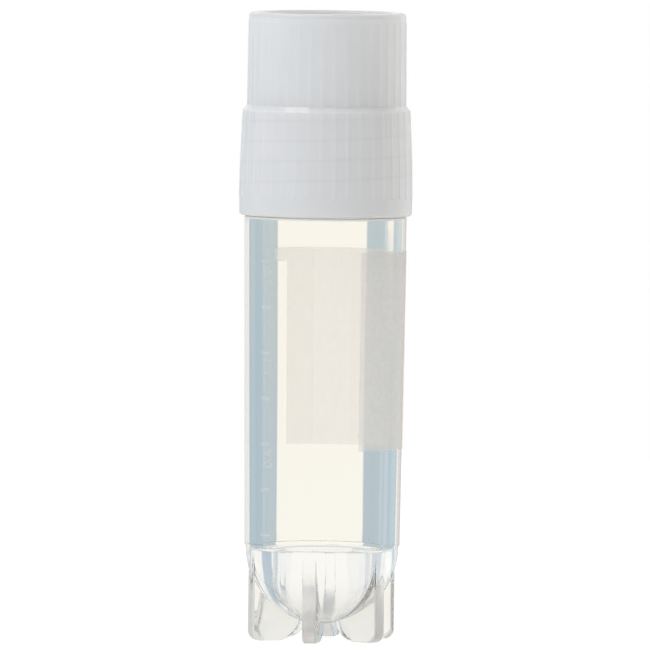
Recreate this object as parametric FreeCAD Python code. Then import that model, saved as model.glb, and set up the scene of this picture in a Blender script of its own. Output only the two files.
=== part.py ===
"""Self-standing cryogenic vial with an external thread and a two-tier screw cap.

Five nodes, all in one frame (millimetres, +Z up, origin on the vial's axis at the plane it stands on):
  tube              one clear moulding: round-bottomed tube, six-finned star foot, threaded neck
  screw_cap         one white moulding: ribbed skirt with an inside thread, deck, open ribbed grip
  gasket            flat sealing ring between the neck's rim and the cap's deck
  writing_patch     white printed field on the tube's wall
  graduation_marks  white printed ticks on the tube's wall
"""
import FreeCAD, Part
import math
import os

# ---- tube body -------------------------------------------------------------------------------
body_shoulder_radius = 6.25     # outside, at the shoulder under the cap
body_seam_radius = 5.98         # outside, at the seam above the round bottom
tube_wall = 1.37
shoulder_height = 32.65
seam_height = 7.30
shoulder_round = 0.15

# ---- round bottom ----------------------------------------------------------------------------
seam_step = 0.10                # the round bottom is this much smaller than the body at the seam
floor_height = 1.25             # underside of the round bottom, above the resting plane
floor_thickness = 0.55
foot_bore_radius = 3.75         # the bore narrows inside the round bottom
ledge_height = 7.10             # where it narrows
ledge_round = 0.20

# ---- star foot -------------------------------------------------------------------------------
fin_count = 6
fin_first_angle = 20.7
fin_thickness = 1.10
fin_inset = 0.03                # outer edge of a fin, inside the round bottom's radius
fin_outer_corner = 0.80
fin_pad_length = 1.32           # flat stretch that a fin stands on
fin_inner_corner = 2.00         # large round from the pad up to the recessed middle
fin_edge_round = 0.15

# ---- threaded neck ---------------------------------------------------------------------------
neck_wall = 0.57
neck_length = 8.40              # shoulder to rim
rim_chamfer = 0.15
thread_pitch = 1.55             # single start, right hand
thread_depth = 0.35
thread_crest_width = 0.30
thread_flank_angle = 30.0
thread_turns = 4.0
cap_thread_turns = 3.5
thread_lead_in = 1.00           # shoulder to the middle of the first ridge
thread_clearance = 0.10         # radial, between each crest and the root it faces
thread_bury = 0.15              # part of a ridge that lies inside its wall

# ---- gasket ----------------------------------------------------------------------------------
gasket_thickness = 0.75
gasket_width = 1.15
gasket_clearance = 0.05         # radial, between the gasket and its seat in the cap
rim_clearance = 0.15            # radial, between the neck and the gasket seat

# ---- screw cap -------------------------------------------------------------------------------
cap_gap = 0.05                  # cap's lower edge above the tube's shoulder
skirt_wall = 0.75               # at the plain ring
skirt_height = 8.50             # lower edge to the step between the tiers
skirt_ring_height = 1.45        # plain ring below the ribs
skirt_belly_height = 4.20       # lower edge to where the skirt starts to narrow
skirt_belly_inset = 0.05
skirt_top_inset = 0.22
skirt_edge_round = 0.15
tier_slope_height = 0.42
tier_step = 0.33
deck_thickness = 1.05
grip_height = 7.10              # step between the tiers to the top
grip_taper = 0.05
grip_wall = 1.20                # round the open socket
grip_edge_height = 0.70         # rounded band above the ribs
grip_edge_round = 0.32
socket_edge_round = 0.20

# ---- ribs on both tiers ----------------------------------------------------------------------
rib_count = 40
rib_first_angle = 5.6
rib_width = 0.42
rib_height = 0.04
rib_end_length = 0.30           # run-out, where the end of a rib sinks into the wall
rib_root = 0.12                 # part of a rib that lies inside the wall

# ---- print -----------------------------------------------------------------------------------
print_gap = 0.02                # off the tube's wall
print_thickness = 0.04
patch_start_angle = -63.5
patch_span_angle = 188.5
patch_height = 15.20
patch_below_shoulder = 2.65
patch_bar_span_angle = 17.0     # narrow bar that runs on past the patch's far edge
patch_bar_height = 1.05
mark_start_angle = -141.0
mark_span_angle = 9.0
mark_height = 0.22
mark_spacing = 3.50             # a quarter of a millilitre
mark_below_shoulder = 3.40
lowest_mark_above_seam = 0.80

# ---- what follows from them ------------------------------------------------------------------
bowl_radius = body_seam_radius - seam_step
bowl_centre = floor_height + bowl_radius
bore_shoulder_radius = body_shoulder_radius - tube_wall
bore_seam_radius = body_seam_radius - tube_wall
bore_floor = floor_height + floor_thickness
bore_bowl_centre = bore_floor + foot_bore_radius
ledge_round_centre = ledge_height - ledge_round

neck_radius = bore_shoulder_radius + neck_wall
rim_height = shoulder_height + neck_length
thread_start = shoulder_height + thread_lead_in
cap_bore_radius = neck_radius + thread_depth + thread_clearance

seat_radius = neck_radius + rim_clearance
gasket_radius = seat_radius - gasket_clearance
deck_underside = rim_height + gasket_thickness
socket_floor = deck_underside + deck_thickness

cap_bottom = shoulder_height + cap_gap
ring_radius = cap_bore_radius + skirt_wall
ring_top = cap_bottom + skirt_ring_height
belly_height = cap_bottom + skirt_belly_height
tier_height = cap_bottom + skirt_height
grip_base_radius = ring_radius - skirt_top_inset - tier_step
grip_top_radius = grip_base_radius - grip_taper
cap_top = tier_height + grip_height
grip_rib_top = cap_top - grip_edge_height
socket_radius = grip_top_radius - grip_wall

AXIS = FreeCAD.Vector(0, 0, 1)
ORIGIN = FreeCAD.Vector(0, 0, 0)


def point(radius, height):
    """A point in the half-plane that every revolved outline is drawn in."""
    return FreeCAD.Vector(radius, 0, height)


def polar(radius, angle, height):
    """The point at this radius, angle in degrees and height."""
    turn = math.radians(angle)
    return FreeCAD.Vector(radius * math.cos(turn), radius * math.sin(turn), height)


def chain(*steps):
    """Face from a closed outline: a tuple of two points is an arc's middle and end, a point a line's end."""
    edges = []
    first = steps[0]
    here = first
    for step in steps[1:] + (first,):
        if isinstance(step, tuple):
            middle, there = step
            edges.append(Part.Arc(here, middle, there).toShape())
        else:
            there = step
            edges.append(Part.LineSegment(here, there).toShape())
        here = there
    return Part.Face(Part.Wire(edges))


def arc_about(centre_radius, centre_height, radius, from_angle, to_angle):
    """Middle and end of an arc in the outline's half-plane; angles are in degrees from outward."""
    def on_arc(angle):
        turn = math.radians(angle)
        return point(centre_radius + radius * math.cos(turn), centre_height + radius * math.sin(turn))
    return on_arc((from_angle + to_angle) / 2), on_arc(to_angle)


def revolve(face, start_angle=0.0, span=360.0):
    """Turn an outline's face about the vial's axis."""
    solid = face.revolve(ORIGIN, AXIS, span)
    solid.rotate(ORIGIN, AXIS, start_angle)
    return solid


def body_radius(height):
    """Outside radius of the tapered body at a height."""
    share = (height - seam_height) / (shoulder_height - seam_height)
    return body_seam_radius + share * (body_shoulder_radius - body_seam_radius)


def thread_ridge(root_radius, crest_radius, first_ridge, turns):
    """Helical ridge with sloping flanks that run on into the wall it stands on."""
    outward = math.copysign(1, crest_radius - root_radius)
    buried_radius = root_radius - outward * thread_bury
    slope = math.tan(math.radians(thread_flank_angle))
    half_crest = thread_crest_width / 2
    half_base = half_crest + slope * abs(crest_radius - buried_radius)
    corners = [
        point(buried_radius, first_ridge - half_base),
        point(crest_radius, first_ridge - half_crest),
        point(crest_radius, first_ridge + half_crest),
        point(buried_radius, first_ridge + half_base),
    ]
    helix = Part.makeHelix(thread_pitch, thread_pitch * turns, buried_radius)
    helix.translate(FreeCAD.Vector(0, 0, first_ridge))
    profile = Part.makePolygon(corners + corners[:1])
    return Part.Wire(helix).makePipeShell([profile], True, True)


def make_fin(angle):
    """One upright plate of the star foot, with its upper part buried in the round bottom."""
    outer = bowl_radius - fin_inset
    pad_outer = outer - fin_outer_corner
    pad_inner = pad_outer - fin_pad_length
    inner = pad_inner - fin_inner_corner
    face = chain(
        point(inner, bowl_centre),
        point(inner, fin_inner_corner),
        arc_about(pad_inner, fin_inner_corner, fin_inner_corner, 180, 270),
        point(pad_outer, 0),
        arc_about(pad_outer, fin_outer_corner, fin_outer_corner, -90, 0),
        point(outer, bowl_centre),
    )
    plate = face.extrude(FreeCAD.Vector(0, fin_thickness, 0))
    plate.translate(FreeCAD.Vector(0, -fin_thickness / 2, 0))
    side_edges = [edge for edge in plate.Edges if edge.BoundBox.YLength < fin_edge_round]
    plate = plate.makeFillet(fin_edge_round, side_edges)
    plate.rotate(ORIGIN, AXIS, angle)
    return plate


def make_tube():
    """Clear tube: outside turned solid, fins and thread added, then the cavity cut."""
    outside = revolve(chain(
        point(0, floor_height),
        arc_about(0, bowl_centre, bowl_radius, -90, 0),
        point(bowl_radius, seam_height),
        point(body_seam_radius, seam_height),
        point(body_radius(shoulder_height - shoulder_round), shoulder_height - shoulder_round),
        point(body_shoulder_radius - shoulder_round, shoulder_height),
        point(neck_radius, shoulder_height),
        point(neck_radius, rim_height - rim_chamfer),
        point(neck_radius - rim_chamfer, rim_height),
        point(0, rim_height),
    ))
    cavity = revolve(chain(
        point(0, bore_floor),
        arc_about(0, bore_bowl_centre, foot_bore_radius, -90, 0),
        point(foot_bore_radius, ledge_round_centre),
        arc_about(foot_bore_radius + ledge_round, ledge_round_centre, ledge_round, 180, 90),
        point(bore_seam_radius, ledge_height),
        point(bore_shoulder_radius, shoulder_height),
        point(bore_shoulder_radius, rim_height - rim_chamfer),
        point(bore_shoulder_radius + rim_chamfer, rim_height),
        point(bore_shoulder_radius + rim_chamfer, rim_height + rim_chamfer),
        point(0, rim_height + rim_chamfer),
    ))
    fins = [make_fin(fin_first_angle + index * 360 / fin_count) for index in range(fin_count)]
    ridge = thread_ridge(neck_radius, neck_radius + thread_depth, thread_start, thread_turns)
    return outside.fuse(fins).fuse(ridge).cut(cavity)


def rib_section(angle, radius, height):
    """Closed level outline of a rib whose foot is at this radius."""
    half_angle = math.degrees(rib_width / 2 / radius)
    left = polar(radius, angle - half_angle, height)
    right = polar(radius, angle + half_angle, height)
    crest = polar(radius + rib_height, angle, height)
    left_root = polar(radius - rib_root, angle - half_angle, height)
    right_root = polar(radius - rib_root, angle + half_angle, height)
    return Part.Wire([
        Part.Arc(left, crest, right).toShape(),
        Part.LineSegment(right, right_root).toShape(),
        Part.LineSegment(right_root, left_root).toShape(),
        Part.LineSegment(left_root, left).toShape(),
    ])


def make_rib(angle, stations):
    """A rounded rib through (radius, height) stations."""
    sections = [rib_section(angle, radius, height) for radius, height in stations]
    return Part.makeLoft(sections, True, True)


def make_screw_cap():
    """White cap: plain turned body, then its ribs and its inside thread."""
    skirt_top_radius = ring_radius - skirt_top_inset
    skirt_top = tier_height - tier_slope_height
    belly_radius = ring_radius - skirt_belly_inset
    body = revolve(chain(
        point(cap_bore_radius, cap_bottom),
        point(ring_radius - skirt_edge_round, cap_bottom),
        point(ring_radius, cap_bottom + skirt_edge_round),
        point(ring_radius, ring_top),
        point(belly_radius, belly_height),
        point(skirt_top_radius, skirt_top),
        point(grip_base_radius, tier_height),
        point(grip_top_radius, cap_top - grip_edge_round),
        arc_about(grip_top_radius - grip_edge_round, cap_top - grip_edge_round, grip_edge_round, 0, 90),
        point(socket_radius + socket_edge_round, cap_top),
        point(socket_radius, cap_top - socket_edge_round),
        point(socket_radius, socket_floor),
        point(0, socket_floor),
        point(0, deck_underside),
        point(seat_radius, deck_underside),
        point(seat_radius, rim_height - rim_clearance),
        point(cap_bore_radius, rim_height - rim_clearance - (cap_bore_radius - seat_radius)),
    ))
    sunk = rib_height + rib_root
    skirt_stations = [
        (ring_radius - sunk, ring_top - rib_end_length),
        (ring_radius, ring_top),
        (belly_radius, belly_height),
        (skirt_top_radius, skirt_top),
        (skirt_top_radius - sunk, skirt_top + rib_end_length / 2),
    ]
    grip_stations = [
        (grip_base_radius, skirt_top),
        (grip_base_radius, tier_height),
        (grip_top_radius, grip_rib_top),
        (grip_top_radius - sunk, grip_rib_top + rib_end_length),
    ]
    ribs = []
    for index in range(rib_count):
        angle = rib_first_angle + index * 360 / rib_count
        ribs.append(make_rib(angle, skirt_stations))
        ribs.append(make_rib(angle, grip_stations))
    crest_radius = cap_bore_radius - thread_depth
    first_ridge = thread_start + thread_pitch / 2
    ridge = thread_ridge(cap_bore_radius, crest_radius, first_ridge, cap_thread_turns)
    return body.fuse(ribs).fuse(ridge)


def make_gasket():
    """Flat ring, face to face with the rim below and the deck above."""
    return revolve(chain(
        point(gasket_radius - gasket_width, rim_height),
        point(gasket_radius, rim_height),
        point(gasket_radius, deck_underside),
        point(gasket_radius - gasket_width, deck_underside),
    ))


def print_field(start_angle, span, bottom, height):
    """Thin film that follows the tube's tapered wall."""
    top = bottom + height
    inner = print_gap
    outer = print_gap + print_thickness
    return revolve(chain(
        point(body_radius(bottom) + inner, bottom),
        point(body_radius(bottom) + outer, bottom),
        point(body_radius(top) + outer, top),
        point(body_radius(top) + inner, top),
    ), start_angle, span)


def make_writing_patch():
    """Writing field, with the narrow bar that runs on from its upper far corner."""
    top = shoulder_height - patch_below_shoulder
    field = print_field(patch_start_angle, patch_span_angle, top - patch_height, patch_height)
    bar_span = patch_span_angle + patch_bar_span_angle
    bar = print_field(patch_start_angle, bar_span, top - patch_bar_height, patch_bar_height)
    return field.fuse(bar).removeSplitter()


def make_graduation_marks():
    """Short level ticks, one every quarter of a millilitre, down to just above the seam."""
    top = shoulder_height - mark_below_shoulder
    room = top - (seam_height + lowest_mark_above_seam)
    count = 1 + int(room / mark_spacing)
    ticks = []
    for index in range(count):
        middle = top - index * mark_spacing
        ticks.append(print_field(mark_start_angle, mark_span_angle, middle - mark_height / 2, mark_height))
    return Part.makeCompound(ticks)


def main():
    """Write one STEP file per node."""
    os.makedirs("parts", exist_ok=True)
    nodes = {
        "tube": make_tube(),
        "screw_cap": make_screw_cap(),
        "gasket": make_gasket(),
        "writing_patch": make_writing_patch(),
        "graduation_marks": make_graduation_marks(),
    }
    for name, shape in nodes.items():
        print(name, shape.isValid(), len(shape.Solids), round(shape.Volume, 3), shape.BoundBox)
        shape.exportStep("parts/" + name + ".step")


main()
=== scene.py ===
"""Looks of the cryogenic vial: clear tube with its star foot, white screw cap, print, studio."""
import math

import bmesh
import bpy
from mathutils import Matrix, Vector


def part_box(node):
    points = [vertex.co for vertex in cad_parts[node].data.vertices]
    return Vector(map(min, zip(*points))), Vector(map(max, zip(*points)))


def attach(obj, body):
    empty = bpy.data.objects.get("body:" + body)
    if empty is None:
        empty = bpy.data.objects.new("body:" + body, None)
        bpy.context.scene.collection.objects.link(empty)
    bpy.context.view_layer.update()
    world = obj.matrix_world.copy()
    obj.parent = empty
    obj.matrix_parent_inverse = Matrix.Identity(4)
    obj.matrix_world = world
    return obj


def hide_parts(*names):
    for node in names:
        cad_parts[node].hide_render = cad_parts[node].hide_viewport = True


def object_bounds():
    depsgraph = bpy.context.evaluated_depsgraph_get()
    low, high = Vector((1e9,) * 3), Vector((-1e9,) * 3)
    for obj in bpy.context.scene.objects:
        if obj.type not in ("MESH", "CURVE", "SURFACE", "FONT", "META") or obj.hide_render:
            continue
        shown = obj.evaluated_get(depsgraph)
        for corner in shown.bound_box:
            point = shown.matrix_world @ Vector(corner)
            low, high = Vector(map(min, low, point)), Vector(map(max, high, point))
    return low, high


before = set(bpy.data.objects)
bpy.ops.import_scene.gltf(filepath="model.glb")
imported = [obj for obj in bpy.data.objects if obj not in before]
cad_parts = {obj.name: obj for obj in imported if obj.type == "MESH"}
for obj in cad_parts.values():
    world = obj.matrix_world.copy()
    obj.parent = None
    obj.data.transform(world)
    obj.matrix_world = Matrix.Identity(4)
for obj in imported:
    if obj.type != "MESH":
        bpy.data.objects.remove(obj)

cad_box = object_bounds()

MM = 0.001                       # every length below is in millimetres, every angle in degrees

# ---- camera ----------------------------------------------------------------------------------
LENS = 950.0                     # long lens, so that the view is nearly parallel
SENSOR = 36.0
FRAME_HEIGHT = 50.0              # what the picture spans at the vial
CAMERA_ELEVATION = 2.8
CAMERA_ROLL = 0.63               # the vial leans a little to the right
AIM_OFFSET = Vector((0.053, 0.0, 0.08))    # from the middle of the vial

# ---- studio's wall, as glass and gloss see it --------------------------------------------------
# A pane is an upright strip of it: direction from +Y towards +X, half width and width of its soft edge.
WINDOW_PANE = (-1.5, 10.1, 0.8)  # the bright window
WINDOW_GROWTH = 1.3              # how much wider it grows downwards, on each side
STRIP_PANE = (49.0, 6.0, 4.0)    # a paler strip of the flag on the right
UPPER_STRIP_PANE = (53.0, 12.0, 6.0)    # and its bright upper part
HIGH_FLAG_PANE = (-46.0, 17.0, 6.0)     # the one flag on the left that reaches up high
HIGH_VEIL_PANE = (46.0, 17.0, 8.0)      # a pale one on the right, not as high
LOW_VEIL_PANE = (-10.0, 28.0, 10.0)     # and a pale one below the window
FRONT_DIRECTION = 62.0           # beyond this the studio is even, in front of the vial
FRONT_EDGE = 13.0
# Where something changes up the wall is the sine of an elevation, from where to where.
LEVEL_TOP = (-0.038, -0.015)     # the level flags end here
LEVEL_FOOT = (-0.12, -0.22)
UPPER_BAND = (-0.060, -0.049)    # they are lighter above this
FADING_BAND = (-0.050, -0.072)   # from upper to lower colour of the window
HIGH_FLAG_TOP = (0.60, 0.45)     # and the tall ones end at these
HIGH_VEIL_TOP = (0.36, 0.24)
LOW_VEIL_TOP = (-0.10, -0.13)
LOW_VEIL_FOOT = (-0.50, -0.42)
WINDOW_UPPER = (0.982, 0.955, 0.879)
WINDOW_LOWER = (1.0, 0.992, 0.945)
WINDOW_ALOFT = (0.985, 0.975, 0.94)
FLAG_LOWER = (0.419, 0.526, 0.595)
FLAG_UPPER = (0.455, 0.548, 0.59)
FLAG_ALOFT = (0.92, 0.92, 0.905)
FLAG_HIGH = (0.46, 0.55, 0.62)
VEIL_HIGH = (0.62, 0.67, 0.70)
VEIL_LOW = (0.70, 0.73, 0.75)
STRIP_LOWER = (0.495, 0.585, 0.65)
STRIP_UPPER = (0.953, 0.887, 0.796)
FRONT_COLOUR = (0.76, 0.765, 0.76)
SKY_COLOUR = (0.56, 0.545, 0.525)    # the plain level that every other surface gets
WHITE = (1.0, 1.0, 1.0)

# ---- lamps, floor and light --------------------------------------------------------------------
LIGHT_BOUNCES = 64               # enough to get through all the clear walls
CLEAR_BOUNCES = 32
LAMP_DISTANCE = 0.6              # metres, as are the lamps' sizes and the floor
# Name, azimuth from -Y towards +X, elevation, size, what it adds to white that faces it, colour, and
# whether gloss shows it.
LAMPS = (
    ("key", -38, 15, 0.8, 0.42, (0.76, 0.86, 1.0), False),
    ("rim", 125, 5, 0.8, 0.24, (1.0, 0.99, 0.97), True),
    ("back", 200, 6, 0.8, 0.74, (1.0, 0.945, 0.915), False),
    ("spark", -76, 61, 0.25, 0.13, WHITE, True),
)
FLOOR_RADIUS = 0.25
FLOOR_CORNERS = 96
FLOOR_BOUNCE = (0.8, 0.8, 0.8)
FLOOR_SHADOW = (0.35, 0.35, 0.35)    # the part of the floor's white that a shadow can take away
FLOOR_GLOW = 0.78                # and the part that it leaves

# ---- tube, as in the frame ---------------------------------------------------------------------
BODY_SHOULDER_RADIUS = 6.25
BODY_SEAM_RADIUS = 5.98
TUBE_WALL = 1.37
SHOULDER_HEIGHT = 32.65
SHOULDER_ROUND = 0.15
SEAM_HEIGHT = 7.30
SEAM_STEP = 0.10
FLOOR_HEIGHT = 1.25
FLOOR_THICKNESS = 0.55
FOOT_BORE_RADIUS = 3.75
LEDGE_HEIGHT = 7.10
LEDGE_ROUND = 0.20
NECK_WALL = 0.57
RIM_CHAMFER = 0.15
THREAD_PITCH = 1.55
THREAD_DEPTH = 0.35
THREAD_HALF_CREST = 0.15
THREAD_FLANK = 30.0
THREAD_TURNS = 4.0
THREAD_LEAD_IN = 1.00

# ---- star foot, as in the frame ----------------------------------------------------------------
FIN_COUNT = 6
FIN_FIRST_ANGLE = 20.7
FIN_THICKNESS = 1.10
FIN_INSET = 0.03
FIN_OUTER_CORNER = 0.80
FIN_PAD_LENGTH = 1.32
FIN_INNER_CORNER = 2.00
FIN_EDGE_ROUND = 0.15
FIN_TOP = 6.75                   # where the outer edge runs into the round bottom
FIN_BURIED = (-3, -69)           # angles of its buried upper edge, seen from the round bottom's centre

# ---- print, as in the frame --------------------------------------------------------------------
PRINT_GAP = 0.02
PRINT_THICKNESS = 0.04
PATCH_START = -63.5
PATCH_SPAN = 188.5
PATCH_HEIGHT = 15.20
PATCH_BELOW_SHOULDER = 2.65
BAR_SPAN = 17.0
BAR_HEIGHT = 1.05
MARK_SPACING = 3.50
MARK_BELOW_SHOULDER = 3.40       # the top tick

# ---- plain numbers, which only this script adds ------------------------------------------------
NUMBERS = ("1.8", "1.3", "0.8")  # millilitres, at every other tick from the top
NUMBER_ANGLE = -133.5
NUMBER_SIZE = 1.25
NUMBER_BELOW_TICK = 0.35
NUMBER_LIFT = 0.015              # more room under the flat strokes of a number

# ---- how finely the smooth meshes are cut ------------------------------------------------------
COLUMNS = 192                    # straight pieces round the tube
BODY_ROWS = 24                   # and up its straight wall, so that shading stays true near its ends
GUARD = 0.03                     # first row's distance from a bend, for the same reason
BOWL_PIECES = 56                 # up a quarter of the round bottom, outside
BORE_BOWL_PIECES = 48            # and inside
SEAM_PIECES = 8
SEAM_SLOPE = 0.02                # half the height over which the step at the seam runs out
SHOULDER_PIECES = 6
LEDGE_PIECES = 8
THREAD_ROW = 0.07
THREAD_RUN_OUT = 0.06            # turn over which the ridge rises from the neck
FIN_CURVE_PIECES = 16
FIN_CORNER_PIECES = 10
FIN_EDGE_PIECES = 3
PRINT_COLUMN = 1.5               # degrees
SHARP_ANGLE = 32                 # an edge that bends more than this stays sharp
MERGE_DISTANCE = 0.001           # corners nearer than this become one

# ---- finishes ----------------------------------------------------------------------------------
# Where a finish changes is from where it starts to where it is full, in millimetres of height or radius.
PLASTIC_IOR = 1.49
NOISE_RANGE = (0.3, 0.7)         # the stretch of a noise's values that a finish uses
NOISE_DETAIL = 3.0
MOTTLE_DETAIL = 4.0
SKIN_DETAIL = 5.0

CLEAR_BOTTOM = (0.985, 0.985, 0.98)      # tints of the light that passes
CLEAR_FOOT = (0.93, 0.93, 0.918)
CLEAR_WALL = (0.996, 0.990, 0.972)
FOOT_HEIGHTS = (5.5, 2.5)
WALL_HEIGHTS = (SEAM_HEIGHT - 1.5, SEAM_HEIGHT)
SHADOW_TINT = (0.96, 0.955, 0.94)
FLOW_MARK_SIZE = 2.5
FLOW_ROUGHNESS = (0.005, 0.03)
UNDERSIDE_HEIGHTS = (4.6, 3.4)
UNDERSIDE_RADII = (5.4, 5.2)
UNDERSIDE_ROUGHNESS = 0.06
GATE_HEIGHTS = (1.75, 1.6)       # the spot that the moulding's gate leaves under the tube
GATE_RADII = (1.9, 1.5)
GATE_TINT = (0.55, 0.56, 0.56)
GATE_ROUGHNESS = 0.25

HAZE_RADII = (5.66, 5.80)        # haze on the fins' outer ends
HAZE_CORNER = 0.7                # how much nearer the axis it starts at the foot of the rounded corner
HAZE_HEIGHTS = (5.4, 3.4)
HAZE_TINT = (0.99, 0.99, 0.99)
# painted shade: the haze on one fin's end is tinted darker and bluer, as if that end were in shade
BACK_FIN_SHADE_TINT = (0.72, 0.75, 0.79)
HAZE_ROUGHNESS = 0.5
HAZE_COVER = 0.35
FIN_REACH = (0.07, 0.05)         # how far from a fin's middle still counts as that fin, in turns
SHADED_FIN = 1                     # the fin whose hazy end gets painted shade, darker and bluer, counted from the first
CLEAR_FIN = 2                    # the fin whose end has no haze

MILKY_COLOUR = (0.98, 0.935, 0.89)
GRAZING_RANGE = (0.65, 0.75)     # the tube's outside looks milky where it turns away
GRAZING_COVER = 0.8
GRAZING_HEIGHTS = (SEAM_HEIGHT - 1.0, SEAM_HEIGHT + 0.5)
# painted light: a milky band on the shoulder's round that covers the dark shade showing there under the
# cap's skirt
SHOULDER_LIGHT_BAND = (SHOULDER_HEIGHT - 0.25, SHOULDER_HEIGHT - 0.1)
SHOULDER_LIGHT_COVER = 0.7
OUTSIDE_RADII = (5.5, 5.7)       # so that the bore stays clear

CAP_COLOURS = ((0.812, 0.82, 0.823), (0.832, 0.84, 0.843))
CAP_CLOUD_SIZE = 4.0
# painted shade: darker lines where the inside thread would show through the wall
CAP_THREAD_SHADE_COLOUR = (0.77, 0.775, 0.775)
CAP_THREAD_SHADE_SHARE = 0.4
CAP_THREAD_WIDTH = (0.12, 0.03)  # from the ridge's middle, as a share of the pitch
CAP_THREAD_START = (SHOULDER_HEIGHT + 1.2, SHOULDER_HEIGHT + 2.0)
CAP_THREAD_END = (SHOULDER_HEIGHT + 8.0, SHOULDER_HEIGHT + 7.4)
# painted shade: the cap's rounded top edge is tinted darker
CAP_TOP_SHADE_COLOUR = (0.72, 0.725, 0.725)
CAP_TOP_SHADE_BELOW_TOP = (0.45, 0.2)
CAP_SKIN_SIZE = 0.12
CAP_SKIN_DEPTH = 0.004
CAP_SKIN_ROUGHNESS = (0.36, 0.46)
CAP_COAT = 0.6
CAP_COAT_ROUGHNESS = 0.08
CAP_SCATTER = 0.8                # how deep light goes in

SILICONE_COLOURS = ((0.78, 0.78, 0.76), (0.82, 0.82, 0.80))
SILICONE_CLOUD_SIZE = 1.5
SILICONE_ROUGHNESS = 0.55
SILICONE_SCATTER_SHARE = 0.5
SILICONE_SCATTER = 0.5
SILICONE_SKIN_SIZE = 0.1
SILICONE_SKIN_DEPTH = 0.005

INK_COLOURS = ((0.985, 0.962, 0.948), (0.995, 0.972, 0.958))
INK_MOTTLE_SIZE = 0.8
INK_SKIN_SIZE = 0.15
INK_SKIN_DEPTH = 0.002
INK_GRAIN_SIZE = 0.4
INK_GRAIN_RANGE = (0.2, 0.8)
INK_GRAIN = 0.01                 # how much the cover varies
INK_THROUGH = 0.5                # the share of the stopped light that comes out at the other side
INK_COVER = 0.30                 # the share of the light behind it that the ink stops
FAINT_INK_COVER = 0.14

# ---- what follows from them ------------------------------------------------------------------
BOWL_RADIUS = BODY_SEAM_RADIUS - SEAM_STEP
BOWL_CENTRE = FLOOR_HEIGHT + BOWL_RADIUS
BORE_SHOULDER_RADIUS = BODY_SHOULDER_RADIUS - TUBE_WALL
BORE_SEAM_RADIUS = BODY_SEAM_RADIUS - TUBE_WALL
BORE_FLOOR = FLOOR_HEIGHT + FLOOR_THICKNESS
BORE_BOWL_CENTRE = BORE_FLOOR + FOOT_BORE_RADIUS
NECK_RADIUS = BORE_SHOULDER_RADIUS + NECK_WALL
THREAD_START = SHOULDER_HEIGHT + THREAD_LEAD_IN
RIM_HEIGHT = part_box("tube")[1].z / MM
CAP_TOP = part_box("screw_cap")[1].z / MM
MIDDLE = (Vector(cad_box[0]) + Vector(cad_box[1])) / 2


# ---- meshes ------------------------------------------------------------------------------------
def new_object(name, mesh):
    """An object for a mesh, in the scene."""
    made = bpy.data.objects.new(name, mesh)
    bpy.context.scene.collection.objects.link(made)
    return made


def smooth_all_but_corners(mesh):
    """Smooth shading, with sharp edges left sharp."""
    mesh.shade_smooth()
    mesh.set_sharp_from_angle(angle=math.radians(SHARP_ANGLE))


def arc(centre_radius, centre_height, radius, from_angle, to_angle, pieces):
    """Points of an arc in an outline; angles are from outward."""
    points = []
    for index in range(pieces + 1):
        turn = math.radians(from_angle + (to_angle - from_angle) * index / pieces)
        points.append((centre_radius + radius * math.cos(turn), centre_height + radius * math.sin(turn)))
    return points


def body_radius(height):
    """Outside radius of the tapered body."""
    share = (height - SEAM_HEIGHT) / (SHOULDER_HEIGHT - SEAM_HEIGHT)
    return BODY_SEAM_RADIUS + share * (BODY_SHOULDER_RADIUS - BODY_SEAM_RADIUS)


def thread_relief(turn, height):
    """How far the thread's ridge stands out of the neck, at a turn counted from +X."""
    half_base = THREAD_HALF_CREST + THREAD_DEPTH * math.tan(math.radians(THREAD_FLANK))
    along = (height - THREAD_START) / THREAD_PITCH
    wound = turn + round(along - turn)
    if not 0 <= wound <= THREAD_TURNS:
        return 0.0
    away = abs(along - wound) * THREAD_PITCH
    rise = (half_base - away) / (half_base - THREAD_HALF_CREST)
    ends = min(wound, THREAD_TURNS - wound) / THREAD_RUN_OUT
    return THREAD_DEPTH * max(0.0, min(1.0, rise)) * min(1.0, ends)


def lathe(outline, relief):
    """Closed mesh of an outline of (radius, height) points that starts and ends on the axis.

    A relief of turn and height stands out of the neck.
    """
    vertices = []
    rings = []
    for radius, height in outline:
        ring = []
        for column in range(COLUMNS if radius else 1):
            turn = column / COLUMNS
            out = radius + (relief(turn, height) if radius == NECK_RADIUS else 0.0)
            ring.append(len(vertices))
            vertices.append((out * math.cos(2 * math.pi * turn), out * math.sin(2 * math.pi * turn), height))
        rings.append(ring)
    faces = []
    for low, high in zip(rings, rings[1:]):
        for column in range(COLUMNS):
            following = (column + 1) % COLUMNS
            corners = [low[column % len(low)], low[following % len(low)]]
            corners += [high[following % len(high)], high[column % len(high)]]
            faces.append(list(dict.fromkeys(corners)))
    mesh = bpy.data.meshes.new("lathe")
    mesh.from_pydata(vertices, [], faces)
    return mesh


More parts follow.
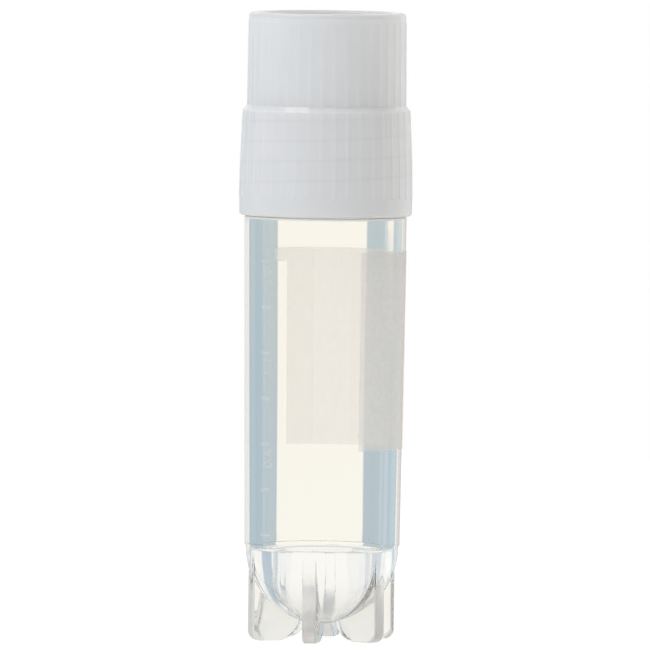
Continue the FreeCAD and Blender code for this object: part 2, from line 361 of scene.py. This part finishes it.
def tube_outline():
    """Outline of the tube without its fins, from the bottom's middle round the outside to the bore."""
    outline = [(0.0, FLOOR_HEIGHT)]
    outline += arc(0, BOWL_CENTRE, BOWL_RADIUS, -90, 0, BOWL_PIECES)[1:]
    outline.append((BOWL_RADIUS, SEAM_HEIGHT - SEAM_SLOPE - GUARD))
    for index in range(SEAM_PIECES + 1):
        share = index / SEAM_PIECES
        smooth = share * share * (3 - 2 * share)
        height = SEAM_HEIGHT + SEAM_SLOPE * (2 * share - 1)
        outline.append((BOWL_RADIUS + smooth * SEAM_STEP, height))
    straight_start = SEAM_HEIGHT + SEAM_SLOPE + GUARD
    straight_end = SHOULDER_HEIGHT - SHOULDER_ROUND - GUARD
    for index in range(BODY_ROWS + 1):
        height = straight_start + (straight_end - straight_start) * index / BODY_ROWS
        outline.append((body_radius(height), height))
    rounded = body_radius(SHOULDER_HEIGHT - SHOULDER_ROUND) - SHOULDER_ROUND
    outline += arc(rounded, SHOULDER_HEIGHT - SHOULDER_ROUND, SHOULDER_ROUND, 0, 90, SHOULDER_PIECES)
    outline.append((NECK_RADIUS, SHOULDER_HEIGHT))
    neck_top = RIM_HEIGHT - RIM_CHAMFER
    rows = int((neck_top - SHOULDER_HEIGHT) / THREAD_ROW)
    for index in range(1, rows + 1):
        outline.append((NECK_RADIUS, SHOULDER_HEIGHT + (neck_top - SHOULDER_HEIGHT) * index / rows))
    outline.append((NECK_RADIUS - RIM_CHAMFER, RIM_HEIGHT))
    outline.append((BORE_SHOULDER_RADIUS + RIM_CHAMFER, RIM_HEIGHT))
    outline.append((BORE_SHOULDER_RADIUS, neck_top))
    for index in range(BODY_ROWS + 1):
        share = index / BODY_ROWS
        height = SHOULDER_HEIGHT + (LEDGE_HEIGHT - SHOULDER_HEIGHT) * share
        outline.append((BORE_SHOULDER_RADIUS + (BORE_SEAM_RADIUS - BORE_SHOULDER_RADIUS) * share, height))
    round_centre = LEDGE_HEIGHT - LEDGE_ROUND
    outline += arc(FOOT_BORE_RADIUS + LEDGE_ROUND, round_centre, LEDGE_ROUND, 90, 180, LEDGE_PIECES)
    outline.append((FOOT_BORE_RADIUS, round_centre - GUARD))
    outline.append((FOOT_BORE_RADIUS, BORE_BOWL_CENTRE + GUARD))
    outline += arc(0, BORE_BOWL_CENTRE, FOOT_BORE_RADIUS, 0, -90, BORE_BOWL_PIECES)[:-1]
    outline.append((0.0, BORE_FLOOR))
    return outline


def fin_plates():
    """The star foot's upright plates, their tops buried in the middle of the round bottom's wall."""
    outer = BOWL_RADIUS - FIN_INSET
    pad_outer = outer - FIN_OUTER_CORNER
    pad_inner = pad_outer - FIN_PAD_LENGTH
    outline = arc(pad_inner, FIN_INNER_CORNER, FIN_INNER_CORNER, 180, 270, FIN_CURVE_PIECES)
    outline += arc(pad_outer, FIN_OUTER_CORNER, FIN_OUTER_CORNER, -90, 0, FIN_CORNER_PIECES)
    outline.append((outer, FIN_TOP))
    middle_radius = (BOWL_RADIUS + BORE_SEAM_RADIUS) / 2    # between the bowl's outside and the bore
    middle_centre = FLOOR_HEIGHT + FLOOR_THICKNESS / 2 + middle_radius
    outline += arc(0, middle_centre, middle_radius, *FIN_BURIED, FIN_CURVE_PIECES)
    plates = bmesh.new()
    side = [plates.verts.new((radius, -FIN_THICKNESS / 2, height)) for radius, height in outline]
    grown = bmesh.ops.extrude_face_region(plates, geom=[plates.faces.new(side)])
    moved = [part for part in grown["geom"] if isinstance(part, bmesh.types.BMVert)]
    bmesh.ops.translate(plates, verts=moved, vec=(0, FIN_THICKNESS, 0))
    rims = []                    # of the two broad faces, whose edges are rounded
    for edge in plates.edges:
        start, end = (corner.co for corner in edge.verts)
        if abs(start.y - end.y) < FIN_THICKNESS / 2:
            rims.append(edge)
    bmesh.ops.bevel(
        plates, geom=rims, offset=FIN_EDGE_ROUND, segments=FIN_EDGE_PIECES, profile=0.5, affect="EDGES",
    )
    bmesh.ops.recalc_face_normals(plates, faces=plates.faces)
    first_turn = Matrix.Rotation(math.radians(FIN_FIRST_ANGLE), 3, "Z")
    bmesh.ops.rotate(plates, verts=plates.verts, matrix=first_turn)
    first = list(plates.faces)
    for index in range(1, FIN_COUNT):
        copied = bmesh.ops.duplicate(plates, geom=first)["geom"]
        corners = [part for part in copied if isinstance(part, bmesh.types.BMVert)]
        turn = Matrix.Rotation(2 * math.pi * index / FIN_COUNT, 3, "Z")
        bmesh.ops.rotate(plates, verts=corners, matrix=turn)
    mesh = bpy.data.meshes.new("fins")
    plates.to_mesh(mesh)
    plates.free()
    return mesh


def build_tube():
    """Smooth tube in one piece with its star foot; it replaces the faceted node."""
    body = new_object("clear_tube", lathe(tube_outline(), thread_relief))
    fins = new_object("fins", fin_plates())
    joining = body.modifiers.new("foot", "BOOLEAN")
    joining.operation = "UNION"
    joining.solver = "EXACT"
    joining.object = fins
    depsgraph = bpy.context.evaluated_depsgraph_get()
    joined = bpy.data.meshes.new_from_object(body.evaluated_get(depsgraph))
    body.modifiers.clear()
    bpy.data.objects.remove(fins)
    joined.transform(Matrix.Scale(MM, 4))
    smooth_all_but_corners(joined)
    body.data = joined
    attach(body, "vial")
    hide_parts("tube")
    return body


def print_film(name, angles, heights, filled):
    """Thin closed film on the tube's wall, over the filled cells of a grid of angles and heights."""
    film = bmesh.new()
    corners = {}

    def corner(column, row, level):
        key = (column, row, level)
        if key not in corners:
            radius = body_radius(heights[row]) + PRINT_GAP + level * PRINT_THICKNESS
            turn = math.radians(angles[column])
            place = Vector((radius * math.cos(turn), radius * math.sin(turn), heights[row]))
            corners[key] = film.verts.new(place * MM)
        return corners[key]

    for column in range(len(angles) - 1):
        for row in range(len(heights) - 1):
            if not filled(column, row):
                continue
            around = [(column, row), (column + 1, row), (column + 1, row + 1), (column, row + 1)]
            film.faces.new([corner(*place, 1) for place in around])
            film.faces.new([corner(*place, 0) for place in reversed(around)])
            beyond = [(column, row - 1), (column + 1, row), (column, row + 1), (column - 1, row)]
            for index, (next_column, next_row) in enumerate(beyond):
                inside = 0 <= next_column < len(angles) - 1 and 0 <= next_row < len(heights) - 1
                if inside and filled(next_column, next_row):
                    continue
                start, end = around[index], around[(index + 1) % 4]
                film.faces.new([corner(*start, 0), corner(*end, 0), corner(*end, 1), corner(*start, 1)])
    mesh = bpy.data.meshes.new(name)
    film.to_mesh(mesh)
    film.free()
    smooth_all_but_corners(mesh)
    return new_object(name, mesh)


def build_patch():
    """Smooth printed field with its bar; it replaces the faceted node."""
    top = SHOULDER_HEIGHT - PATCH_BELOW_SHOULDER
    heights = [top - PATCH_HEIGHT, top - BAR_HEIGHT, top]
    field_columns = int(PATCH_SPAN / PRINT_COLUMN)
    bar_columns = int(BAR_SPAN / PRINT_COLUMN)
    angles = [PATCH_START + PATCH_SPAN * index / field_columns for index in range(field_columns + 1)]
    angles += [angles[-1] + BAR_SPAN * index / bar_columns for index in range(1, bar_columns + 1)]

    def printed(column, row):
        """The field's columns are printed in both rows, the bar's only in the upper one."""
        return row == 1 or column < field_columns

    patch = print_film("printed_field", angles, heights, printed)
    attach(patch, "vial")
    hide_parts("writing_patch")
    return patch


def build_numbers():
    """Plain numbers under every other tick, reading upwards, wrapped on the tube's wall."""
    wrapped = bmesh.new()
    for index, text in enumerate(NUMBERS):
        tick = SHOULDER_HEIGHT - MARK_BELOW_SHOULDER - 2 * index * MARK_SPACING
        curve = bpy.data.curves.new("number", "FONT")
        curve.body = text
        curve.size = NUMBER_SIZE
        curve.extrude = PRINT_THICKNESS / 2
        curve.align_x = "RIGHT"
        curve.align_y = "CENTER"
        flat = new_object("number", curve)
        depsgraph = bpy.context.evaluated_depsgraph_get()
        mesh = bpy.data.meshes.new_from_object(flat.evaluated_get(depsgraph))
        for vertex in mesh.vertices:
            along, across, out = vertex.co
            height = tick - NUMBER_BELOW_TICK + along
            radius = body_radius(height) + PRINT_GAP + NUMBER_LIFT + PRINT_THICKNESS / 2 + out
            turn = math.radians(NUMBER_ANGLE) - across / radius
            vertex.co = (radius * math.cos(turn), radius * math.sin(turn), height)
        wrapped.from_mesh(mesh)
        bpy.data.objects.remove(flat)
    bmesh.ops.remove_doubles(wrapped, verts=wrapped.verts, dist=MERGE_DISTANCE)
    bmesh.ops.scale(wrapped, verts=wrapped.verts, vec=(MM, MM, MM))
    mesh = bpy.data.meshes.new("graduation_numbers")
    wrapped.to_mesh(mesh)
    wrapped.free()
    numbers = new_object("graduation_numbers", mesh)
    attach(numbers, "vial")
    return numbers


# ---- shader helpers ----------------------------------------------------------------------------
def new_material(name):
    """An empty node material, its tree and its output node."""
    material = bpy.data.materials.new(name)
    material.use_nodes = True
    tree = material.node_tree
    tree.nodes.clear()
    return material, tree, tree.nodes.new("ShaderNodeOutputMaterial")


def maths(tree, operation, *values, clamp=False):
    """A Math node whose inputs are sockets or plain numbers; returns its result."""
    made = tree.nodes.new("ShaderNodeMath")
    made.operation = operation
    made.use_clamp = clamp
    for index, value in enumerate(values):
        if isinstance(value, bpy.types.NodeSocket):
            tree.links.new(value, made.inputs[index])
        else:
            made.inputs[index].default_value = value
    return made.outputs[0]


def ramp(tree, value, start, end, low=0.0, high=1.0):
    """A smooth change from low to high while the value goes from start to end."""
    made = tree.nodes.new("ShaderNodeMapRange")
    made.interpolation_type = "SMOOTHSTEP"
    tree.links.new(value, made.inputs[0])
    for index, setting in enumerate((start, end, low, high), start=1):
        made.inputs[index].default_value = setting
    return made.outputs[0]


def mix_colour(tree, share, first, second):
    """A colour between two colours, each a socket or a plain triple."""
    made = tree.nodes.new("ShaderNodeMix")
    made.data_type = "RGBA"
    sockets = [socket for socket in made.inputs if socket.enabled]
    for socket, value in zip(sockets, (share, first, second)):
        if isinstance(value, bpy.types.NodeSocket):
            tree.links.new(value, socket)
        elif isinstance(value, (int, float)):
            socket.default_value = value
        else:
            socket.default_value = (*value, 1.0)
    return [socket for socket in made.outputs if socket.enabled][0]


def mix_shader(tree, share, first, second):
    """A shader between two shaders' outputs."""
    made = tree.nodes.new("ShaderNodeMixShader")
    if isinstance(share, bpy.types.NodeSocket):
        tree.links.new(share, made.inputs[0])
    else:
        made.inputs[0].default_value = share
    tree.links.new(first, made.inputs[1])
    tree.links.new(second, made.inputs[2])
    return made.outputs[0]


def shader_node(tree, kind, colour=None):
    """A simple shader node and, if given, its colour."""
    made = tree.nodes.new(kind)
    if colour:
        made.inputs[0].default_value = (*colour, 1.0)
    return made


def noise(tree, place, size, detail=NOISE_DETAIL):
    """Noise whose features are about this many millimetres across."""
    made = tree.nodes.new("ShaderNodeTexNoise")
    tree.links.new(place, made.inputs["Vector"])
    made.inputs["Scale"].default_value = 1 / (size * MM)
    made.inputs["Detail"].default_value = detail
    return made.outputs["Fac"]


def bump(tree, height, depth):
    """A normal that follows a height of 0 to 1, this many millimetres deep."""
    made = tree.nodes.new("ShaderNodeBump")
    made.inputs["Distance"].default_value = depth * MM
    tree.links.new(height, made.inputs["Height"])
    return made.outputs[0]


def object_place(tree):
    """Object position."""
    return tree.nodes.new("ShaderNodeTexCoord").outputs["Object"]


def axis_places(tree):
    """Object position, height and distance from the axis in millimetres, and share of a turn from +X."""
    place = object_place(tree)
    split = tree.nodes.new("ShaderNodeSeparateXYZ")
    tree.links.new(place, split.inputs[0])
    x, y, z = split.outputs
    height = maths(tree, "DIVIDE", z, MM)
    squares = maths(tree, "ADD", maths(tree, "MULTIPLY", x, x), maths(tree, "MULTIPLY", y, y))
    radius = maths(tree, "DIVIDE", maths(tree, "SQRT", squares), MM)
    turn = maths(tree, "DIVIDE", maths(tree, "ARCTAN2", y, x), 2 * math.pi)
    return place, height, radius, turn


def near(tree, value, centre, reach):
    """1 where a value is close to a centre, 0 beyond; reach is from where to where that fades in."""
    away = maths(tree, "ABSOLUTE", maths(tree, "SUBTRACT", value, centre))
    return ramp(tree, away, *reach)


def scatter(shader, weight, depth):
    """Let light into a shader's skin, this many millimetres deep."""
    shader.inputs["Subsurface Weight"].default_value = weight
    shader.inputs["Subsurface Radius"].default_value = (1.0, 1.0, 1.0)
    shader.inputs["Subsurface Scale"].default_value = depth * MM


# ---- clear plastic -----------------------------------------------------------------------------
def fin_turn(index):
    """Where a fin stands, as a share of a turn from +X."""
    return FIN_FIRST_ANGLE / 360 + index / FIN_COUNT


def fin_haze(tree, height, radius, turn):
    """1 on the fins' hazy outer ends, 0 on the clear fin and everywhere else."""
    corner = ramp(tree, height, FIN_OUTER_CORNER, 0.0, 0.0, HAZE_CORNER)
    fin_end = ramp(tree, maths(tree, "ADD", radius, corner), *HAZE_RADII)
    haze = maths(tree, "MULTIPLY", fin_end, ramp(tree, height, *HAZE_HEIGHTS))
    clear_fin = near(tree, turn, fin_turn(CLEAR_FIN), FIN_REACH)
    return maths(tree, "MULTIPLY", haze, maths(tree, "SUBTRACT", 1.0, clear_fin))


def clear_tint(tree, height, turn, haze, gate):
    """What the plastic does to light's colour: warm in the wall, a little grey in the foot and its haze,
    with painted shade, darker and bluer, on one fin's hazy end.
    """
    colour = mix_colour(tree, ramp(tree, height, *FOOT_HEIGHTS), CLEAR_BOTTOM, CLEAR_FOOT)
    colour = mix_colour(tree, ramp(tree, height, *WALL_HEIGHTS), colour, CLEAR_WALL)
    # painted shade on that one fin's hazy end
    fin_in_shade = near(tree, turn, fin_turn(SHADED_FIN), FIN_REACH)
    colour = mix_colour(tree, haze, colour, mix_colour(tree, fin_in_shade, HAZE_TINT, BACK_FIN_SHADE_TINT))
    return mix_colour(tree, gate, colour, GATE_TINT)


def clear_roughness(tree, place, height, radius, haze, gate):
    """Slight flow marks, a duller underside, and dull haze and gate."""
    roughness = ramp(tree, noise(tree, place, FLOW_MARK_SIZE), *NOISE_RANGE, *FLOW_ROUGHNESS)
    roughness = maths(tree, "ADD", roughness, maths(tree, "MULTIPLY", haze, HAZE_ROUGHNESS))
    low = ramp(tree, height, *UNDERSIDE_HEIGHTS)
    underside = maths(tree, "MULTIPLY", low, ramp(tree, radius, *UNDERSIDE_RADII))
    roughness = maths(tree, "ADD", roughness, maths(tree, "MULTIPLY", underside, UNDERSIDE_ROUGHNESS))
    return maths(tree, "ADD", roughness, maths(tree, "MULTIPLY", gate, GATE_ROUGHNESS))


def milkiness(tree, height, radius, haze):
    """How milky the surface looks: outside where it turns away, in the haze, and along the shoulder, where a
    milky band paints over the dark shade under the cap.
    """
    grazing = tree.nodes.new("ShaderNodeLayerWeight").outputs["Facing"]
    edge = ramp(tree, grazing, *GRAZING_RANGE, 0.0, GRAZING_COVER)
    edge = maths(tree, "MULTIPLY", edge, ramp(tree, height, *GRAZING_HEIGHTS))
    edge = maths(tree, "MAXIMUM", edge, ramp(tree, height, *SHOULDER_LIGHT_BAND, 0.0, SHOULDER_LIGHT_COVER))
    edge = maths(tree, "MULTIPLY", edge, ramp(tree, radius, *OUTSIDE_RADII))
    return maths(tree, "MAXIMUM", edge, maths(tree, "MULTIPLY", haze, HAZE_COVER))


def clear_plastic():
    """Clear polypropylene, which casts a plain pale shadow."""
    material, tree, output = new_material("clear_polypropylene")
    place, height, radius, turn = axis_places(tree)
    haze = fin_haze(tree, height, radius, turn)
    gate = maths(tree, "MULTIPLY", ramp(tree, radius, *GATE_RADII), ramp(tree, height, *GATE_HEIGHTS))
    shader = tree.nodes.new("ShaderNodeBsdfPrincipled")
    shader.inputs["Transmission Weight"].default_value = 1.0
    shader.inputs["IOR"].default_value = PLASTIC_IOR
    tree.links.new(clear_tint(tree, height, turn, haze, gate), shader.inputs["Base Color"])
    roughness = clear_roughness(tree, place, height, radius, haze, gate)
    tree.links.new(roughness, shader.inputs["Roughness"])
    milky = shader_node(tree, "ShaderNodeBsdfDiffuse", MILKY_COLOUR)
    edged = mix_shader(tree, milkiness(tree, height, radius, haze), shader.outputs[0], milky.outputs[0])
    lit = shader_node(tree, "ShaderNodeBsdfTransparent", SHADOW_TINT)
    path = tree.nodes.new("ShaderNodeLightPath")
    tree.links.new(mix_shader(tree, path.outputs["Is Shadow Ray"], edged, lit.outputs[0]), output.inputs[0])
    return material


# ---- cap, gasket and print ---------------------------------------------------------------------
def thread_shade_lines(tree, height, turn):
    """Where the thread's painted shade goes: 1 over the middle of the cap's inside thread, half a pitch
    above the neck's, 0 between its turns.
    """
    along = maths(tree, "DIVIDE", maths(tree, "SUBTRACT", height, THREAD_START), THREAD_PITCH)
    wound = maths(tree, "FRACT", maths(tree, "SUBTRACT", along, turn))
    ridge = near(tree, wound, 0.5, CAP_THREAD_WIDTH)
    started = ramp(tree, height, *CAP_THREAD_START)
    threaded = maths(tree, "MULTIPLY", started, ramp(tree, height, *CAP_THREAD_END))
    return maths(tree, "MULTIPLY", ridge, threaded)


def white_plastic():
    """White polypropylene: milky, with a satin skin, painted shade as faint darker lines where the inside
    thread would show through, and painted shade on its rounded top edge.
    """
    material, tree, output = new_material("white_polypropylene")
    place, height, radius, turn = axis_places(tree)
    shader = tree.nodes.new("ShaderNodeBsdfPrincipled")
    cloud = ramp(tree, noise(tree, place, CAP_CLOUD_SIZE), *NOISE_RANGE)
    colour = mix_colour(tree, cloud, *CAP_COLOURS)
    # painted shade of the inside thread, as if it showed through the wall
    share = maths(tree, "MULTIPLY", thread_shade_lines(tree, height, turn), CAP_THREAD_SHADE_SHARE)
    colour = mix_colour(tree, share, colour, CAP_THREAD_SHADE_COLOUR)
    # painted shade darkening the cap's rounded top edge
    top_shade_start, top_shade_end = (CAP_TOP - below for below in CAP_TOP_SHADE_BELOW_TOP)
    top_shade = ramp(tree, height, top_shade_start, top_shade_end)
    tree.links.new(mix_colour(tree, top_shade, colour, CAP_TOP_SHADE_COLOUR), shader.inputs["Base Color"])
    skin = noise(tree, place, CAP_SKIN_SIZE, SKIN_DETAIL)
    tree.links.new(ramp(tree, skin, *NOISE_RANGE, *CAP_SKIN_ROUGHNESS), shader.inputs["Roughness"])
    tree.links.new(bump(tree, skin, CAP_SKIN_DEPTH), shader.inputs["Normal"])
    shader.inputs["IOR"].default_value = PLASTIC_IOR
    shader.inputs["Coat Weight"].default_value = CAP_COAT
    shader.inputs["Coat Roughness"].default_value = CAP_COAT_ROUGHNESS
    scatter(shader, 1.0, CAP_SCATTER)
    tree.links.new(shader.outputs[0], output.inputs[0])
    return material


def silicone():
    """Soft milky sealing ring."""
    material, tree, output = new_material("silicone")
    place = object_place(tree)
    shader = tree.nodes.new("ShaderNodeBsdfPrincipled")
    cloud = ramp(tree, noise(tree, place, SILICONE_CLOUD_SIZE), *NOISE_RANGE)
    tree.links.new(mix_colour(tree, cloud, *SILICONE_COLOURS), shader.inputs["Base Color"])
    shader.inputs["Roughness"].default_value = SILICONE_ROUGHNESS
    scatter(shader, SILICONE_SCATTER_SHARE, SILICONE_SCATTER)
    skin = noise(tree, place, SILICONE_SKIN_SIZE, SKIN_DETAIL)
    tree.links.new(bump(tree, skin, SILICONE_SKIN_DEPTH), shader.inputs["Normal"])
    tree.links.new(shader.outputs[0], output.inputs[0])
    return material


def print_ink(name, cover):
    """Thin white ink: cover is how much of the light behind it stops, the rest passes straight."""
    material, tree, output = new_material(name)
    place = object_place(tree)
    mottle = ramp(tree, noise(tree, place, INK_MOTTLE_SIZE, MOTTLE_DETAIL), *NOISE_RANGE)
    colour = mix_colour(tree, mottle, *INK_COLOURS)
    diffuse = tree.nodes.new("ShaderNodeBsdfDiffuse")
    tree.links.new(colour, diffuse.inputs["Color"])
    tree.links.new(bump(tree, noise(tree, place, INK_SKIN_SIZE), INK_SKIN_DEPTH), diffuse.inputs["Normal"])
    through = tree.nodes.new("ShaderNodeBsdfTranslucent")
    tree.links.new(colour, through.inputs["Color"])
    film = mix_shader(tree, INK_THROUGH, diffuse.outputs[0], through.outputs[0])
    clear = shader_node(tree, "ShaderNodeBsdfTransparent")
    grain = noise(tree, place, INK_GRAIN_SIZE)
    covered = ramp(tree, grain, *INK_GRAIN_RANGE, cover - INK_GRAIN, cover + INK_GRAIN)
    tree.links.new(mix_shader(tree, covered, clear.outputs[0], film), output.inputs[0])
    return material


# ---- studio ------------------------------------------------------------------------------------
def glass_or_gloss(tree, path):
    """1 for rays that glass or gloss sends on, 0 for the others."""
    return maths(tree, "ADD", path.outputs["Is Glossy Ray"], path.outputs["Is Transmission Ray"], clamp=True)


def floor_material():
    """White to the camera with the vial's shadow left in, a plain bounce for light, open to glass."""
    material, tree, output = new_material("floor")
    plain = shader_node(tree, "ShaderNodeBsdfDiffuse", FLOOR_BOUNCE)
    dim = shader_node(tree, "ShaderNodeBsdfDiffuse", FLOOR_SHADOW)
    glow = tree.nodes.new("ShaderNodeEmission")
    glow.inputs["Strength"].default_value = FLOOR_GLOW
    lifted = tree.nodes.new("ShaderNodeAddShader")
    tree.links.new(dim.outputs[0], lifted.inputs[0])
    tree.links.new(glow.outputs[0], lifted.inputs[1])
    clear = shader_node(tree, "ShaderNodeBsdfTransparent")
    path = tree.nodes.new("ShaderNodeLightPath")
    seen = mix_shader(tree, path.outputs["Is Camera Ray"], plain.outputs[0], lifted.outputs[0])
    both = mix_shader(tree, glass_or_gloss(tree, path), seen, clear.outputs[0])
    tree.links.new(both, output.inputs[0])
    return material


def studio_wall(tree, direction):
    """Colour of the studio's wall: window, grey-blue flags and pale veils, by direction from the vial."""
    split = tree.nodes.new("ShaderNodeSeparateXYZ")
    tree.links.new(direction, split.inputs[0])
    x, y, z = split.outputs
    azimuth = maths(tree, "ARCTAN2", x, y)

    def pane(middle, half_width, edge, growth=0.0):
        """1 inside a pane, 0 outside; growth widens it, in radians."""
        away = maths(tree, "ABSOLUTE", maths(tree, "SUBTRACT", azimuth, math.radians(middle)))
        away = maths(tree, "SUBTRACT", away, growth)
        outer, inner = math.radians(half_width + edge / 2), math.radians(half_width - edge / 2)
        return ramp(tree, away, outer, inner)

    def tall_pane(sizes, top, foot):
        """1 inside a pane that ends at a top and a foot."""
        share = maths(tree, "MULTIPLY", pane(*sizes), ramp(tree, z, *top))
        return maths(tree, "MULTIPLY", share, ramp(tree, z, *foot))

    lower = ramp(tree, z, *FADING_BAND)
    upper = ramp(tree, z, *UPPER_BAND)
    window = pane(*WINDOW_PANE, maths(tree, "MULTIPLY", lower, math.radians(WINDOW_GROWTH)))
    level = mix_colour(tree, upper, FLAG_LOWER, FLAG_UPPER)
    level = mix_colour(tree, pane(*STRIP_PANE), level, STRIP_LOWER)
    level = mix_colour(tree, maths(tree, "MULTIPLY", pane(*UPPER_STRIP_PANE), upper), level, STRIP_UPPER)
    front_start, front_end = math.radians(FRONT_DIRECTION), math.radians(FRONT_DIRECTION + FRONT_EDGE)
    front = ramp(tree, maths(tree, "ABSOLUTE", azimuth), front_start, front_end)
    level = mix_colour(tree, front, level, FRONT_COLOUR)
    level = mix_colour(tree, window, level, mix_colour(tree, lower, WINDOW_UPPER, WINDOW_LOWER))
    high = mix_colour(tree, window, FLAG_ALOFT, WINDOW_ALOFT)
    high = mix_colour(tree, tall_pane(HIGH_FLAG_PANE, HIGH_FLAG_TOP, LEVEL_TOP), high, FLAG_HIGH)
    high = mix_colour(tree, tall_pane(HIGH_VEIL_PANE, HIGH_VEIL_TOP, LEVEL_TOP), high, VEIL_HIGH)
    off_level = maths(tree, "MAXIMUM", ramp(tree, z, *LEVEL_TOP), ramp(tree, z, *LEVEL_FOOT))
    wall = mix_colour(tree, off_level, level, high)
    return mix_colour(tree, tall_pane(LOW_VEIL_PANE, LOW_VEIL_TOP, LOW_VEIL_FOOT), wall, VEIL_LOW)


def build_world():
    """White for the camera, the studio's wall for glass and gloss, a plain level for the rest."""
    world = bpy.data.worlds.new("studio")
    bpy.context.scene.world = world
    world.use_nodes = True
    tree = world.node_tree
    tree.nodes.clear()
    output = tree.nodes.new("ShaderNodeOutputWorld")
    background = tree.nodes.new("ShaderNodeBackground")
    tree.links.new(background.outputs[0], output.inputs[0])
    wall = studio_wall(tree, tree.nodes.new("ShaderNodeTexCoord").outputs["Generated"])
    path = tree.nodes.new("ShaderNodeLightPath")
    colour = mix_colour(tree, glass_or_gloss(tree, path), SKY_COLOUR, wall)
    colour = mix_colour(tree, path.outputs["Is Camera Ray"], colour, WHITE)
    tree.links.new(colour, background.inputs["Color"])


def soft_lamp(name, azimuth, elevation, size, level, colour, glossy):
    """A round lamp aimed at the vial; level is what it adds to a white surface that faces it."""
    data = bpy.data.lights.new(name, "AREA")
    data.shape = "DISK"
    data.size = size
    data.energy = level * (math.pi * LAMP_DISTANCE) ** 2
    data.color = colour
    lamp = new_object(name, data)
    turn, rise = math.radians(azimuth), math.radians(elevation)
    outward = Vector((math.sin(turn) * math.cos(rise), -math.cos(turn) * math.cos(rise), math.sin(rise)))
    lamp.location = MIDDLE + outward * LAMP_DISTANCE
    lamp.rotation_euler = outward.to_track_quat("Z", "Y").to_euler()
    lamp.visible_camera = False
    lamp.visible_glossy = glossy
    lamp.visible_transmission = False


def build_camera():
    """Long lens a touch above level, at the distance where the picture spans the frame's height."""
    data = bpy.data.cameras.new("camera")
    data.lens = LENS
    data.sensor_width = SENSOR
    distance = FRAME_HEIGHT * MM * LENS / SENSOR
    data.clip_start = distance / 10
    data.clip_end = distance * 10
    camera = new_object("camera", data)
    rise = math.radians(CAMERA_ELEVATION)
    back = Vector((0.0, -math.cos(rise), math.sin(rise)))
    place = Matrix.Translation(MIDDLE + AIM_OFFSET * MM + back * distance)
    look = back.to_track_quat("Z", "Y").to_matrix().to_4x4()
    camera.matrix_world = place @ look @ Matrix.Rotation(math.radians(CAMERA_ROLL), 4, "Z")
    bpy.context.scene.camera = camera


def build_floor():
    """Round white floor that the vial stands on."""
    rim = []
    for index in range(FLOOR_CORNERS):
        turn = 2 * math.pi * index / FLOOR_CORNERS
        rim.append((FLOOR_RADIUS * math.cos(turn), FLOOR_RADIUS * math.sin(turn), 0.0))
    mesh = bpy.data.meshes.new("floor")
    mesh.from_pydata(rim, [], [list(range(FLOOR_CORNERS))])
    mesh.materials.append(floor_material())
    new_object("floor", mesh)


# ---- the vial in its studio --------------------------------------------------------------------
ink = print_ink("white_print", INK_COVER)
faint_ink = print_ink("faint_print", FAINT_INK_COVER)
dressed = {
    build_tube(): clear_plastic(),
    build_patch(): ink,
    build_numbers(): faint_ink,
    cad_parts["screw_cap"]: white_plastic(),
    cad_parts["gasket"]: silicone(),
    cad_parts["graduation_marks"]: faint_ink,
}
for piece, material in dressed.items():
    piece.data.materials.clear()
    piece.data.materials.append(material)

build_world()
build_camera()
build_floor()
for lamp in LAMPS:
    soft_lamp(*lamp)

scene = bpy.context.scene
scene.cycles.max_bounces = LIGHT_BOUNCES
scene.cycles.transmission_bounces = LIGHT_BOUNCES
scene.cycles.glossy_bounces = LIGHT_BOUNCES
scene.cycles.transparent_max_bounces = CLEAR_BOUNCES
scene.view_settings.view_transform = "Standard"
